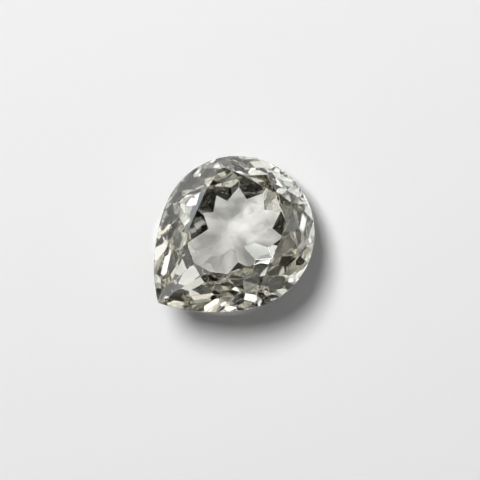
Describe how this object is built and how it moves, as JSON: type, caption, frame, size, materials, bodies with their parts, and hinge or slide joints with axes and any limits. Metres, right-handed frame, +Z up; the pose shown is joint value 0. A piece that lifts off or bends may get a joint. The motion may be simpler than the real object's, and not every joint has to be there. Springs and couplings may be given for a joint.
{
  "type": "faceted zircon gemstone",
  "caption": "Loose pear-shaped colourless zircon, brilliant crown over a pavilion of kite facets in four rows, lying on its pavilion beside the culet.",
  "frame": {"origin": "middle of the stone's box, on the surface that it lies on", "axes": "+X along the pear towards its round head, +Z up from the surface; the stone leans, as it does when it lies on its pavilion facets beside the culet"},
  "size_m": [0.0096, 0.0082, 0.0054],
  "materials": {
    "zircon": "polished flat facets, clear, faintly olive-grey; frosted girdle"
  },
  "bodies": {
    "root": {"zircon": "zircon"}
  },
  "joints": []
}
